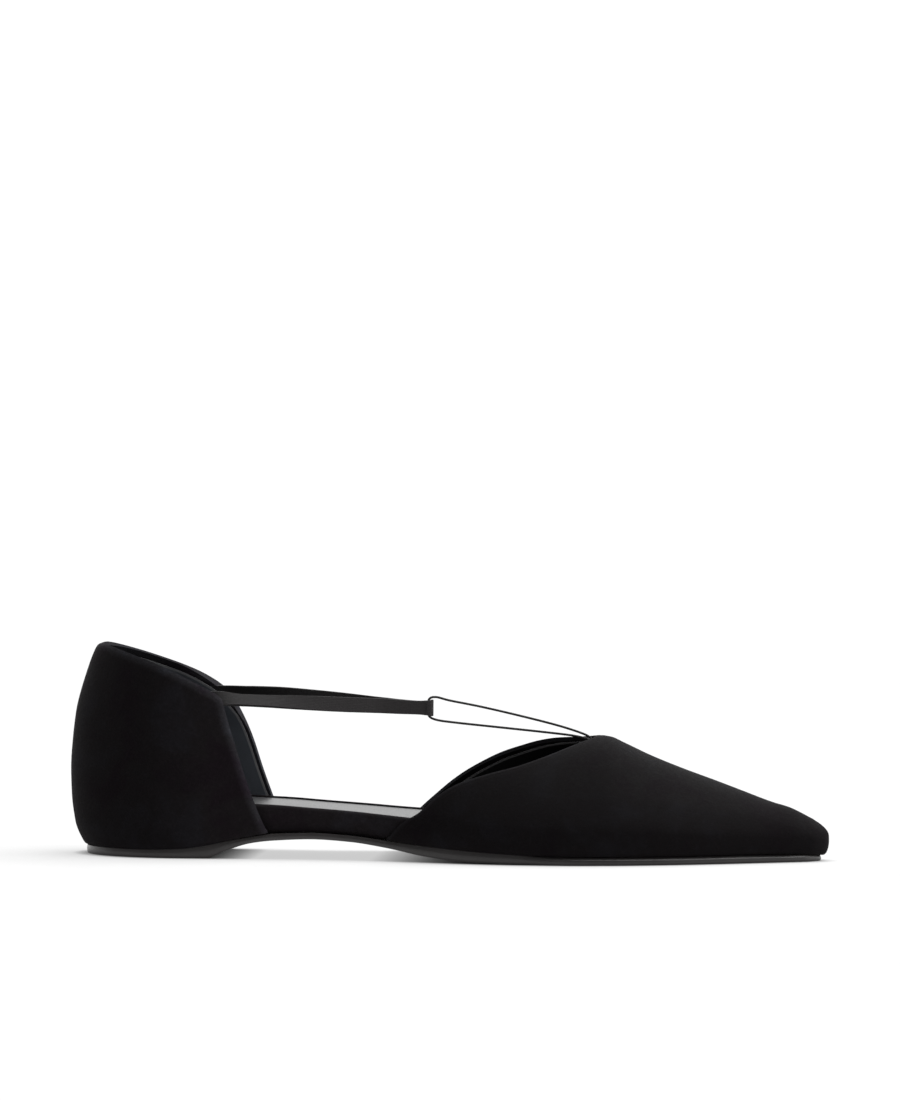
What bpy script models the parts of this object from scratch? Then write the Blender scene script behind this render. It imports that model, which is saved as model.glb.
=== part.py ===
# Pointed toe flat with open sides, right shoe: outsole, footbed, insole sock, heel counter, vamp,
# elastic strap and cord loop.
# Metres, +Z up, +X towards the toe, +Y towards the medial side, origin on the floor under the middle.
# Inside this file places are in millimetres: x from the back of the heel, y from the heel's centre
# line, z from the floor. The function world turns them into metres.

import math

import bpy
import bmesh
from mathutils import Vector

MM = 0.001
LATERAL = -1
MEDIAL = 1

# Driving dimensions, millimetres
LENGTH = 264.0
BALL_WIDTH = 82.0
THROAT_HEIGHT = 43.0
WALL = 1.8
GAP = 0.3

# The last seen from above. Columns: along as a share of the length; lateral side, medial side and
# ridge line as shares of the ball width, measured from the heel's centre line.
PLAN = (
    (0.00, 0.349, 0.349, 0.000),
    (0.14, 0.354, 0.351, 0.000),
    (0.25, 0.344, 0.330, 0.000),
    (0.35, 0.346, 0.318, 0.006),
    (0.42, 0.380, 0.337, 0.022),
    (0.48, 0.439, 0.387, 0.036),
    (0.54, 0.487, 0.437, 0.045),
    (0.60, 0.511, 0.471, 0.048),
    (0.66, 0.507, 0.486, 0.046),
    (0.72, 0.474, 0.473, 0.042),
    (0.78, 0.412, 0.428, 0.038),
    (0.84, 0.324, 0.353, 0.034),
    (0.90, 0.221, 0.261, 0.032),
    (0.95, 0.127, 0.178, 0.030),
    (1.00, 0.032, 0.094, 0.030),
)
HEEL_ROUND = 36.0
TOE_ROUND = 6.0

# The sole and footbed seen from the side. Columns: along as a share of the length; underside of the
# outsole, top of the outsole and top edge of the footbed in millimetres above the floor.
SIDE = (
    (0.00, 0.0, 2.9, 20.0),
    (0.10, 0.0, 2.8, 20.0),
    (0.16, 0.0, 3.3, 19.9),
    (0.19, 0.0, 4.4, 19.7),
    (0.22, 3.0, 6.1, 19.4),
    (0.25, 5.4, 7.6, 19.0),
    (0.28, 6.4, 8.8, 18.7),
    (0.33, 7.0, 9.2, 17.8),
    (0.38, 6.3, 8.5, 16.9),
    (0.43, 4.5, 7.0, 15.8),
    (0.48, 2.1, 5.6, 14.7),
    (0.53, 0.7, 4.5, 13.5),
    (0.58, 0.4, 3.7, 12.2),
    (0.62, 0.2, 3.2, 11.3),
    (0.66, 0.0, 3.0, 10.4),
    (0.81, 0.0, 2.9, 8.0),
    (0.90, 0.0, 3.0, 7.4),
    (0.95, 0.0, 2.8, 7.1),
    (0.975, 0.0, 2.4, 6.8),
    (1.00, 0.0, 1.6, 6.4),
)

# The ridge of the vamp. Columns: along as a share of the length, height as a share of the throat
# height. Behind the throat it is the line that the open sides' wings would meet at.
RIDGE = (
    (0.42, 1.180),
    (0.54, 1.100),
    (0.62, 1.035),
    (0.675, 0.995),
    (0.695, 0.992),
    (0.712, 0.980),
    (0.73, 0.932),
    (0.763, 0.837),
    (0.802, 0.744),
    (0.845, 0.648),
    (0.886, 0.555),
    (0.927, 0.464),
    (0.947, 0.428),
    (0.979, 0.333),
)
RIDGE_END = 0.979 * LENGTH
RIDGE_SLOPE = -0.5
# The nose from the side. Columns: distance behind the tip, height above the toe's widest line.
NOSE = (
    (0.00, 0.0),
    (0.06, 1.2),
    (0.25, 2.2),
    (0.80, 3.2),
    (1.90, 4.4),
    (3.40, 5.7),
    (5.40, 7.1),
    (7.70, 9.0),
    (11.0, 13.0),
)

# The vamp's open edge, lateral side and medial side. Columns: along in millimetres, height in
# millimetres. Both start at the outsole and end at the throat's point.
VAMP_EDGE = {
    LATERAL: (
        (110.0, 3.0),
        (114.3, 8.5),
        (118.6, 13.3),
        (124.5, 17.2),
        (131.0, 23.2),
        (138.0, 27.4),
        (147.5, 30.6),
        (158.2, 33.4),
        (165.4, 35.9),
        (172.0, 38.4),
        (178.6, 40.9),
        (183.2, 42.7),
        (192.0, 52.0),
    ),
    MEDIAL: (
        (109.5, 3.0),
        (113.8, 8.5),
        (119.0, 14.6),
        (125.8, 20.9),
        (131.1, 25.4),
        (137.4, 29.7),
        (148.0, 35.3),
        (155.4, 38.0),
        (162.6, 40.2),
        (170.0, 41.5),
        (178.0, 42.1),
        (183.2, 42.7),
        (192.0, 52.0),
    ),
}
FEATHER_TUCK = 2.6
FEATHER_TUCK_TOE = 2.2
FEATHER_HEIGHT_BALL = 8.0
FEATHER_HEIGHT_TOE = 5.4
TUCK_SHARE = 0.2
CROWN_THROAT = 0.60
CROWN_TOE = 0.35

# The counter's levels. Columns: height, back of the heel along the length, share of the full width.
COUNTER_LEVELS = (
    (0.0, 3.7, 1.000),
    (5.0, 3.2, 1.000),
    (8.0, 2.4, 1.000),
    (11.0, 1.6, 1.000),
    (20.0, 0.35, 1.000),
    (30.0, 0.0, 0.995),
    (40.0, 0.5, 0.975),
    (49.0, 1.6, 0.950),
    (57.0, 3.4, 0.925),
    (66.0, 6.2, 0.900),
    (70.0, 7.7, 0.893),
    (72.0, 8.7, 0.889),
    (73.0, 9.6, 0.887),
    (74.0, 11.3, 0.885),
)
# Shares of the counter's height at which it is drawn, from the outsole to the rim
COUNTER_ROWS = (0.0, 0.013, 0.04, 0.08, 0.135, 0.2, 0.28, 0.37, 0.47, 0.57, 0.67, 0.76, 0.84, 0.91, 0.96, 0.985, 1.0)
# The counter's rim from the back to the front corner. Columns: along, lateral height, medial height.
COUNTER_RIM = (
    (11.5, 73.8, 73.8),
    (15.0, 72.8, 72.4),
    (22.0, 70.6, 70.0),
    (30.0, 67.9, 67.2),
    (36.0, 65.4, 65.0),
    (41.7, 62.8, 62.6),
    (47.0, 60.2, 59.7),
    (49.6, 58.9, 57.9),
    (51.5, 57.9, 56.4),
    (53.3, 57.0, 54.3),
    (55.6, 55.2, 51.5),
    (60.0, 49.0, 46.2),
)
# The counter's front edge from the outsole to the front corner. Columns: height, along on the
# lateral side, along on the medial side.
COUNTER_EDGE = (
    (6.0, 73.4, 73.4),
    (15.7, 69.1, 69.1),
    (22.0, 66.6, 66.6),
    (29.5, 63.9, 63.9),
    (38.4, 61.0, 61.0),
    (44.8, 58.9, 58.4),
    (50.0, 57.3, 55.8),
    (53.6, 56.3, 53.7),
    (56.4, 55.4, 51.5),
    (62.0, 52.0, 46.0),
)

# Outsole edge. Columns: inset from the sole's outline, share of the sole's height.
SOLE_INSET = 2.2
SOLE_INSET_TIP = 1.6
SOLE_BEVEL_REST = 0.2
SOLE_EDGE = (
    (1.3, 0.00),
    (0.4, 0.10),
    (0.0, 0.32),
    (0.0, 0.66),
    (0.8, 0.94),
    (1.4, 1.00),
)
TIP_INSET_SHARE = 1.7

# Footbed and sock
FOOTBED_GAP = 0.6
FOOTBED_TUCK = 2.2
FOOTBED_ROUND = 1.2
FOOTBED_RIM = 2.2
FOOTBED_RECESS = 1.6
SOCK_THICKNESS = 0.7

# Elastic strap: one strip from corner to corner, folded round the cord at the front
STRAP_THICKNESS = 1.1
STRAP_LAPS = (41.0, 45.0, 49.0, 52.5)
STRAP_JOIN = 109.0
STRAP_FOLD = 125.0
STRAP_HALF_SPLIT = 0.72
# Columns: along, height of the lower edge on the lateral and on the medial side, width, lean of the
# lateral and of the medial side in degrees from upright.
STRAP_LINE = (
    (41.0, 52.4, 52.4, 5.2, 6.0, 6.0),
    (53.0, 52.4, 52.5, 5.2, 8.0, 8.0),
    (59.0, 52.6, 52.7, 5.1, 40.0, 14.0),
    (62.0, 52.5, 52.8, 5.1, 46.0, 16.0),
    (69.0, 52.1, 52.7, 5.1, 44.0, 12.0),
    (82.0, 51.0, 52.0, 5.1, 25.0, 4.0),
    (95.0, 50.1, 51.0, 5.2, 10.0, 2.0),
    (109.0, 49.5, 49.8, 5.2, 2.0, 0.0),
    (115.0, 49.3, 49.4, 5.0, 0.0, 0.0),
    (120.5, 49.2, 49.2, 4.8, 0.0, 0.0),
    (124.0, 49.0, 49.0, 5.0, 0.0, 0.0),
    (126.8, 48.5, 48.5, 6.1, 0.0, 0.0),
)

# Cord loop, one cord through the strap's fold with both ends under the vamp
CORD_DIAMETER = 0.8
CORD_STEPS = 6
# Columns: along, across from the heel's centre line, height.
CORD_ROUTE = (
    (188.0, 2.4, 39.5),
    (184.4, 2.4, 39.9),
    (181.9, 2.4, 40.7),
    (179.8, 2.4, 42.5),
    (170.8, 2.2, 45.5),
    (156.8, 1.5, 49.0),
    (142.9, 0.9, 52.1),
    (132.4, 0.4, 54.1),
    (127.4, 0.1, 55.3),
    (125.0, 0.0, 54.5),
    (125.0, 0.0, 51.5),
    (125.0, 0.0, 48.8),
    (127.6, 0.1, 47.4),
    (134.0, 0.5, 46.5),
    (149.9, 1.8, 44.9),
    (163.8, 3.0, 43.5),
    (174.5, 3.9, 42.3),
    (179.6, 4.2, 41.2),
    (183.6, 4.2, 39.8),
    (188.0, 4.2, 39.5),
)

# Base colour, roughness and metallic value of each material
MATERIALS = {
    "outsole": ((0.036, 0.032, 0.031), 0.55, 0.0),
    "suede": ((0.011, 0.010, 0.011), 0.95, 0.0),
    "sock leather": ((0.018, 0.018, 0.019), 0.35, 0.0),
    "elastic": ((0.030, 0.028, 0.028), 0.85, 0.0),
    "cord": ((0.020, 0.019, 0.019), 0.70, 0.0),
}


# Smooth reading of the tables

def read(rows, column, place):
    # Monotone cubic through the rows, so a flat stretch stays flat
    if place <= rows[0][0]:
        return rows[0][column]
    if place >= rows[-1][0]:
        return rows[-1][column]
    index = 0
    while rows[index + 1][0] < place:
        index += 1
    step = rows[index + 1][0] - rows[index][0]
    share = (place - rows[index][0]) / step
    start = rows[index][column]
    end = rows[index + 1][column]
    leave = slope_at(rows, column, index) * step
    arrive = slope_at(rows, column, index + 1) * step
    square = share * share
    cube = square * share
    return ((2 * cube - 3 * square + 1) * start + (cube - 2 * square + share) * leave
            + (3 * square - 2 * cube) * end + (cube - square) * arrive)


def slope_at(rows, column, index):
    last = len(rows) - 1
    if index == 0:
        return (rows[1][column] - rows[0][column]) / (rows[1][0] - rows[0][0])
    if index == last:
        return (rows[last][column] - rows[last - 1][column]) / (rows[last][0] - rows[last - 1][0])
    before = (rows[index][column] - rows[index - 1][column]) / (rows[index][0] - rows[index - 1][0])
    after = (rows[index + 1][column] - rows[index][column]) / (rows[index + 1][0] - rows[index][0])
    if before * after <= 0:
        return 0.0
    return 2 * before * after / (before + after)


def ease(place, low, high):
    # 0 before low, 1 after high, smooth between
    share = min(1.0, max(0.0, (place - low) / (high - low)))
    return share * share * (3 - 2 * share)


def root(function, low, high):
    # The place between low and high where the falling function passes zero
    for _ in range(48):
        middle = (low + high) / 2
        if function(middle) > 0:
            low = middle
        else:
            high = middle
    return (low + high) / 2


# The last's own sizes at a place along the length

def ridge_line(x):
    return BALL_WIDTH * read(PLAN, 3, x / LENGTH)


def side_line(x, side):
    column = 1 if side == LATERAL else 2
    return side * BALL_WIDTH * read(PLAN, column, x / LENGTH)


def half_width(x, side):
    return abs(side_line(x, side) - ridge_line(x))


def slant(x, side):
    slope = (half_width(x + 1, side) - half_width(x - 1, side)) / 2
    return math.sqrt(1 + slope * slope)


def sole_bottom(x):
    return read(SIDE, 1, x / LENGTH)


def sole_top(x):
    return read(SIDE, 2, x / LENGTH)


def footbed_top(x):
    return read(SIDE, 3, x / LENGTH)


def heel_back(z):
    return read(COUNTER_LEVELS, 1, z)


def feather_height(x):
    share = ease(x, 0.70 * LENGTH, 0.98 * LENGTH)
    return FEATHER_HEIGHT_BALL + (FEATHER_HEIGHT_TOE - FEATHER_HEIGHT_BALL) * share


def feather_depth(x):
    # How far the upper turns in towards the sole at its lower edge
    return FEATHER_TUCK + (FEATHER_TUCK_TOE - FEATHER_TUCK) * ease(x, 0.84 * LENGTH, LENGTH)


def feather_tuck(rise, height):
    # How far the heel turns in, rise millimetres above its lower edge
    share = 1 - min(1.0, max(0.0, rise / height))
    return FEATHER_TUCK * (1 - math.sqrt(1 - share * share))


def outline_point(step, side, inset, z, tip_inset):
    # step 0 to 1 goes round the heel, 1 to 2 along the side, 2 to 3 round the toe
    back = heel_back(z) + inset
    heel = HEEL_ROUND - inset
    tip = LENGTH - tip_inset
    fullness = 1.0
    if step <= 1:
        angle = step * math.pi / 2
        x = back + heel * (1 - math.cos(angle))
        fullness = math.sin(angle)
    elif step <= 2:
        x = back + heel + (tip - TOE_ROUND - back - heel) * (step - 1)
    else:
        angle = (3 - step) * math.pi / 2
        x = tip - TOE_ROUND * (1 - math.cos(angle))
        fullness = math.sin(angle)
    width = (half_width(x, side) - inset * slant(x, side)) * fullness
    return x, ridge_line(x) + side * width


# Objects

def world(x, y, z):
    middle = (side_line(0.66 * LENGTH, MEDIAL) + side_line(0.60 * LENGTH, LATERAL)) / 2
    return Vector(((x - LENGTH / 2) * MM, (y - middle) * MM, z * MM))


def make_material(name):
    colour, roughness, metallic = MATERIALS[name]
    material = bpy.data.materials.new(name)
    material.use_nodes = True
    shader = material.node_tree.nodes["Principled BSDF"]
    shader.inputs["Base Color"].default_value = (*colour, 1.0)
    shader.inputs["Roughness"].default_value = roughness
    shader.inputs["Metallic"].default_value = metallic
    return material


def sheet(name, columns, rows, place, material, closed=False):
    # A grid whose vertices are moved to place(column, row), welded where they meet
    shape = bmesh.new()
    bmesh.ops.create_grid(shape, x_segments=columns, y_segments=rows, size=0.5)
    for vertex in shape.verts:
        column = round((vertex.co.x + 0.5) * columns)
        row = round((vertex.co.y + 0.5) * rows)
        vertex.co = world(*place(column, row))
    bmesh.ops.remove_doubles(shape, verts=shape.verts, dist=0.000002)
    bmesh.ops.dissolve_degenerate(shape, edges=shape.edges, dist=0.000001)
    if closed:
        bmesh.ops.recalc_face_normals(shape, faces=shape.faces)
    mesh = bpy.data.meshes.new(name)
    shape.to_mesh(mesh)
    shape.free()
    mesh.shade_smooth()
    mesh.set_sharp_from_angle(angle=math.radians(35))
    mesh.materials.append(make_material(material))
    item = bpy.data.objects.new(name, mesh)
    bpy.context.scene.collection.objects.link(item)
    return item


def thicken(item, thickness, offset):
    solidify = item.modifiers.new("wall", "SOLIDIFY")
    solidify.thickness = thickness * MM
    solidify.offset = offset
    return item


def plate(name, stations, levels, material):
    # A closed body between the heel and the toe. levels(x) lists inset and height from the middle of
    # the underside, round the edge, to the middle of the top
    count = len(levels(LENGTH / 2))
    last = len(stations) - 1

    def place(column, row):
        ring = row % (2 * count)
        side = LATERAL if ring < count else MEDIAL
        level = ring if ring < count else 2 * count - 1 - ring
        step = stations[column]
        x, y = outline_point(step, side, 0.0, 0.0, 0.0)
        for _ in range(3):
            inset, z = levels(x)[level]
            x, y = outline_point(step, side, inset, z, inset * TIP_INSET_SHARE)
        if column in (0, last):
            y = ridge_line(x)
        return x, y, z

    return sheet(name, last, 2 * count, place, material, closed=True)


def spaced(heel, middle, toe):
    steps = [index / heel for index in range(heel)]
    steps += [1 + index / middle for index in range(middle)]
    steps += [2 + index / toe for index in range(toe + 1)]
    return steps


# Outsole: one thin sheet from heel to toe, flat at heel and forefoot, arched between

def bevel_share(x):
    # The upper edge is bevelled under the forefoot and nearly plain elsewhere
    share = ease(x, 0.60 * LENGTH, 0.66 * LENGTH) - ease(x, 0.94 * LENGTH, 0.985 * LENGTH)
    return SOLE_BEVEL_REST + (1 - SOLE_BEVEL_REST) * share


def outsole_levels(x):
    bottom = sole_bottom(x)
    height = sole_top(x) - bottom
    edge = SOLE_INSET + (SOLE_INSET_TIP - SOLE_INSET) * ease(x, 0.92 * LENGTH, 0.98 * LENGTH)
    levels = []
    for inset, share in SOLE_EDGE:
        cut = inset * bevel_share(x) if share > 0.5 else inset
        levels.append((edge + cut, bottom + height * share))
    return levels


def make_outsole():
    return plate("outsole", spaced(9, 38, 6), outsole_levels, "outsole")


# Footbed: the covered platform, with a raised edge round the sock

def footbed_inset(rise, height):
    share = 1 - min(1.0, rise / height)
    return WALL + FOOTBED_GAP + FOOTBED_TUCK * share * share


def recess_inset(x):
    wall = footbed_top(x) - sole_top(x) - GAP - FOOTBED_ROUND
    return footbed_inset(wall, feather_height(x)) + FOOTBED_RIM


def footbed_levels(x):
    base = sole_top(x) + GAP
    top = footbed_top(x)
    wall = top - base - FOOTBED_ROUND
    levels = []
    for share in (0.0, 0.3, 0.65, 1.0):
        levels.append((footbed_inset(wall * share, feather_height(x)), base + wall * share))
    edge = levels[-1][0]
    levels.append((edge + 0.3 * FOOTBED_ROUND, top - 0.3 * FOOTBED_ROUND))
    levels.append((edge + FOOTBED_ROUND, top))
    levels.append((recess_inset(x), top))
    levels.append((recess_inset(x), top - FOOTBED_RECESS))
    return levels


def make_footbed():
    return plate("footbed", spaced(9, 30, 5), footbed_levels, "suede")


# Insole sock: thin leather in the footbed's recess

def sock_levels(x):
    base = footbed_top(x) - FOOTBED_RECESS + GAP
    inset = recess_inset(x) + GAP
    return [
        (inset + 0.1, base),
        (inset, base + 0.5 * SOCK_THICKNESS),
        (inset + 0.25, base + SOCK_THICKNESS),
    ]


def make_sock():
    return plate("insole_sock", spaced(9, 30, 5), sock_levels, "sock leather")


# Counter: the hollow rear part of the upper

def counter_point(side, around, z):
    # around 0 is the middle of the back, 1 the front edge
    heel_share = 0.66
    front = read(COUNTER_EDGE, 1 if side == LATERAL else 2, z)
    back = heel_back(z)
    turn = min(1.0, around / heel_share) * math.pi / 2
    x = back + HEEL_ROUND * (1 - math.cos(turn))
    if around > heel_share:
        x += (front - x) * (around - heel_share) / (1 - heel_share)
    tuck = feather_tuck(z - sole_top(x) - GAP, FEATHER_HEIGHT_BALL)
    width = half_width(x, side) * read(COUNTER_LEVELS, 2, z) - tuck
    return x + tuck * math.cos(turn), ridge_line(x) + side * width * math.sin(turn)


def counter_rim(side, around):
    z = 70.0
    for _ in range(40):
        x = counter_point(side, around, z)[0]
        z = 0.5 * z + 0.5 * read(COUNTER_RIM, 1 if side == LATERAL else 2, x)
    return z


def make_counter():
    around_steps = 14
    up_steps = len(COUNTER_ROWS) - 1

    def place(column, row):
        side = MEDIAL if column < around_steps else LATERAL
        index = abs(around_steps - column)
        around = index / around_steps
        foot = counter_point(side, around, 6.0)[0]
        base = sole_top(foot) + GAP
        z = base + (counter_rim(side, around) - base) * COUNTER_ROWS[row]
        x, y = counter_point(side, around, z)
        if index == 0:
            y = ridge_line(x)
        return x, y, z

    item = sheet("counter", 2 * around_steps, up_steps, place, "suede")
    return thicken(item, WALL, -1.0)


# Vamp: the hollow front part of the upper, from the throat's point to the toe

def ridge_height(x):
    if x > RIDGE_END:
        return read(RIDGE, 1, 1.0) * THROAT_HEIGHT + RIDGE_SLOPE * (x - RIDGE_END)
    return THROAT_HEIGHT * read(RIDGE, 1, x / LENGTH)


def crown(x):
    return CROWN_THROAT + (CROWN_TOE - CROWN_THROAT) * ease(x, 0.72 * LENGTH, 0.97 * LENGTH)


def section_height(x, around):
    # around 0 is the ridge, 1 the feather line
    base = sole_top(x) + GAP
    widest = base + feather_height(x)
    bend = 1 - TUCK_SHARE
    if around <= bend:
        angle = around / bend * math.pi / 2
        rise = math.cos(angle)
        flat = crown(x)
        return widest + (ridge_height(x) - widest) * ((1 - flat) * rise + flat * rise * rise)
    angle = (around - bend) / TUCK_SHARE * math.pi / 2
    return base + feather_height(x) * (1 - math.sin(angle))


def section_width(x, side, around):
    bend = 1 - TUCK_SHARE
    if around <= bend:
        return half_width(x, side) * math.sin(around / bend * math.pi / 2)
    angle = (around - bend) / TUCK_SHARE * math.pi / 2
    return half_width(x, side) - feather_depth(x) * (1 - math.cos(angle)) * slant(x, side)


def nose_profile(x):
    return sole_top(LENGTH) + GAP + FEATHER_HEIGHT_TOE + read(NOSE, 1, LENGTH - x)


def nose_end(around):
    # Where the line at this height meets the middle of the toe
    bend = 1 - TUCK_SHARE
    if around >= bend:
        angle = (around - bend) / TUCK_SHARE * math.pi / 2
        return LENGTH - FEATHER_TUCK_TOE * (1 - math.cos(angle))
    return root(lambda x: nose_profile(x) - section_height(x, around), RIDGE_END - 5, LENGTH)


def edge_start(side, around):
    return root(lambda x: section_height(x, around) - read(VAMP_EDGE[side], 1, x), 109.6, 190.0)


def vamp_point(side, around, share):
    start = edge_start(side, around)
    end = nose_end(around)
    x = start + (end - start) * (1 - (1 - share) ** 1.7)
    left = min(1.0, max(0.0, (end - x) / TOE_ROUND))
    turn = math.sqrt(1 - (1 - left) * (1 - left))
    y = ridge_line(x) + side * section_width(x, side, around) * turn
    return x, y, section_height(x, around)


def make_vamp():
    side_steps = 14
    along_steps = 26

    def place(column, row):
        side = LATERAL if row < side_steps else MEDIAL
        around = abs(side_steps - row) / side_steps
        x, y, z = vamp_point(side, around, column / along_steps)
        if column == along_steps or row == side_steps:
            y = ridge_line(x)
        return x, y, z

    item = sheet("vamp", along_steps, 2 * side_steps, place, "suede")
    return thicken(item, WALL, -1.0)


# Elastic strap: flat strip standing on its edge, lapped inside the counter's front corners

def strap_half(side):
    # Along and distance from the heel's centre line, from the lap to the fold
    lower = STRAP_LINE[0][1]
    inner = WALL + GAP + STRAP_THICKNESS / 2
    half = []
    for x in STRAP_LAPS:
        half.append((x, half_width(x, side) * read(COUNTER_LEVELS, 2, lower) - inner))
    corner_x, corner_y = half[-1]
    runs = 10
    for index in range(1, runs + 1):
        share = index / runs
        x = corner_x + (STRAP_JOIN - corner_x) * share
        half.append((x, corner_y + (STRAP_HALF_SPLIT - corner_y) * share))
    half += [(115.0, STRAP_HALF_SPLIT), (119.5, STRAP_HALF_SPLIT), (122.5, STRAP_HALF_SPLIT)]
    tunnel = (CORD_DIAMETER + STRAP_THICKNESS) / 2 + GAP
    turns = 5
    for index in range(turns + 1):
        angle = math.pi / 2 * index / turns
        half.append((STRAP_FOLD + tunnel * math.sin(angle), tunnel * math.cos(angle)))
    return half


def strap_route():
    # Points as along, across and side, from the lateral lap round the fold to the medial lap
    lateral = [(x, -y, LATERAL) for x, y in strap_half(LATERAL)]
    medial = [(x, y, MEDIAL) for x, y in strap_half(MEDIAL)[:-1]]
    return lateral + medial[::-1]


def make_strap():
    route = strap_route()
    rows = 2

    def place(column, row):
        x, y, side = route[column]
        lateral = side == LATERAL
        lean = math.radians(read(STRAP_LINE, 4 if lateral else 5, x))
        up = row / rows * read(STRAP_LINE, 3, x)
        lower = read(STRAP_LINE, 1 if lateral else 2, x)
        return x, y - side * up * math.sin(lean), lower + up * math.cos(lean)

    item = sheet("elastic_strap", len(route) - 1, rows, place, "elastic")
    return thicken(item, STRAP_THICKNESS, 0.0)


# Cord loop

def smooth_route(points, steps):
    smooth = []
    for index in range(len(points) - 1):
        before = Vector(points[max(0, index - 1)])
        start = Vector(points[index])
        end = Vector(points[index + 1])
        after = Vector(points[min(len(points) - 1, index + 2)])
        count = max(2, min(steps, round((end - start).length / 2.5)))
        for part in range(count):
            t = part / count
            smooth.append(0.5 * (2 * start + (end - before) * t
                                 + (2 * before - 5 * start + 4 * end - after) * t * t
                                 + (3 * start - before - 3 * end + after) * t * t * t))
    smooth.append(Vector(points[-1]))
    return smooth


def make_cord():
    points = smooth_route(CORD_ROUTE, CORD_STEPS)
    curve = bpy.data.curves.new("cord_loop", "CURVE")
    curve.dimensions = "3D"
    curve.bevel_depth = CORD_DIAMETER / 2 * MM
    curve.bevel_resolution = 2
    curve.use_fill_caps = True
    spline = curve.splines.new("POLY")
    spline.points.add(len(points) - 1)
    for target, point in zip(spline.points, points):
        target.co = (*world(*point), 1.0)
    curve.materials.append(make_material("cord"))
    item = bpy.data.objects.new("cord_loop", curve)
    bpy.context.scene.collection.objects.link(item)
    return item


for old in list(bpy.data.objects):
    bpy.data.objects.remove(old)

make_outsole()
make_footbed()
make_sock()
make_counter()
make_vamp()
make_strap()
make_cord()
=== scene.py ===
# Pointed toe flat with open sides, right shoe: black suede upper, elastic strap and cord loop.
# Places are worked out in millimetres, x from the back of the heel, y from the heel's centre line,
# z from the floor. toWorld turns them into the frame's metres.

import math

import bmesh
import bpy
import numpy as np
from mathutils import Matrix, Vector


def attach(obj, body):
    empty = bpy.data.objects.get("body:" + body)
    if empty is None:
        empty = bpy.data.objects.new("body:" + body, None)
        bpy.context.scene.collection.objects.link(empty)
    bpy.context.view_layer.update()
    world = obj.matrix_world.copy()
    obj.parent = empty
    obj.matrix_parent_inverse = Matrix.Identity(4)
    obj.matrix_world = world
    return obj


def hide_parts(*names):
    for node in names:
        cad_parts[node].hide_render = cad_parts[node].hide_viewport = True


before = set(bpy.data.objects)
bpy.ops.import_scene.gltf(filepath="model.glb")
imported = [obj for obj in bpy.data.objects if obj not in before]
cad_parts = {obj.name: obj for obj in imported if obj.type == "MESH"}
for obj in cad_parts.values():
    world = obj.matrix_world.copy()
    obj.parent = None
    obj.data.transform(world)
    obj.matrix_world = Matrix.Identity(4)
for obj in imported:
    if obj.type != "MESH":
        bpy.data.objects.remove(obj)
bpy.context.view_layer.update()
print("frame loaded:", sorted(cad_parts))

lateral = -1
medial = 1

last = {
    "length": 264.0,
    "ballWidth": 82.0,
    "throatHeight": 43.0,
    "gap": 0.3,
    "seam": 0.08,
    "heelRound": 36.0,
    "toeRound": 6.0,
    # along as a share of the length; lateral side, medial side and ridge line as shares of the ball width
    "plan": (
        (0.00, 0.349, 0.349, 0.000),
        (0.14, 0.354, 0.351, 0.000),
        (0.25, 0.344, 0.330, 0.000),
        (0.35, 0.346, 0.318, 0.006),
        (0.42, 0.380, 0.337, 0.022),
        (0.48, 0.439, 0.387, 0.036),
        (0.54, 0.487, 0.437, 0.045),
        (0.60, 0.511, 0.471, 0.048),
        (0.66, 0.507, 0.486, 0.046),
        (0.72, 0.474, 0.473, 0.042),
        (0.78, 0.412, 0.428, 0.038),
        (0.84, 0.324, 0.353, 0.034),
        (0.90, 0.221, 0.261, 0.032),
        (0.95, 0.127, 0.178, 0.030),
        (1.00, 0.032, 0.094, 0.030),
    ),
    # along as a share of the length; underside of the sole, its top and the footbed's top edge
    "side": (
        (0.00, 0.0, 2.9, 20.0),
        (0.10, 0.0, 2.8, 20.0),
        (0.16, 0.0, 3.3, 19.9),
        (0.19, 0.0, 4.4, 19.7),
        (0.22, 3.0, 6.1, 19.4),
        (0.25, 5.4, 7.6, 19.0),
        (0.28, 6.4, 8.8, 18.7),
        (0.33, 7.0, 9.2, 17.8),
        (0.38, 6.3, 8.5, 16.9),
        (0.43, 4.5, 7.0, 15.8),
        (0.48, 2.1, 5.6, 14.7),
        (0.53, 0.7, 4.5, 13.5),
        (0.58, 0.4, 3.7, 12.2),
        (0.62, 0.2, 3.2, 11.3),
        (0.66, 0.0, 3.0, 10.4),
        (0.81, 0.0, 2.9, 8.0),
        (0.90, 0.0, 3.0, 7.4),
        (0.95, 0.0, 2.8, 7.1),
        (0.975, 0.0, 2.4, 6.8),
        (1.00, 0.0, 1.6, 6.4),
    ),
    # height, back of the heel along the length, share of the full width
    "heel": (
        (0.0, 3.7, 1.000),
        (5.0, 3.2, 1.000),
        (8.0, 2.4, 1.000),
        (11.0, 1.6, 1.000),
        (20.0, 0.35, 1.000),
        (30.0, 0.0, 0.995),
        (40.0, 0.5, 0.975),
        (49.0, 1.6, 0.950),
        (57.0, 3.4, 0.925),
        (66.0, 6.2, 0.900),
        (70.0, 7.7, 0.893),
        (72.0, 8.7, 0.889),
        (73.0, 9.6, 0.887),
        (74.0, 11.3, 0.885),
    ),
    "featherTuck": 2.6,
    "featherTuckToe": 2.2,
    "featherHeightBall": 8.0,
    "featherHeightToe": 5.4,
    "featherFall": (0.70, 0.98),
    "tuckFall": (0.84, 1.0),
    "widest": {"lateral": 0.60, "medial": 0.66},
}


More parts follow.
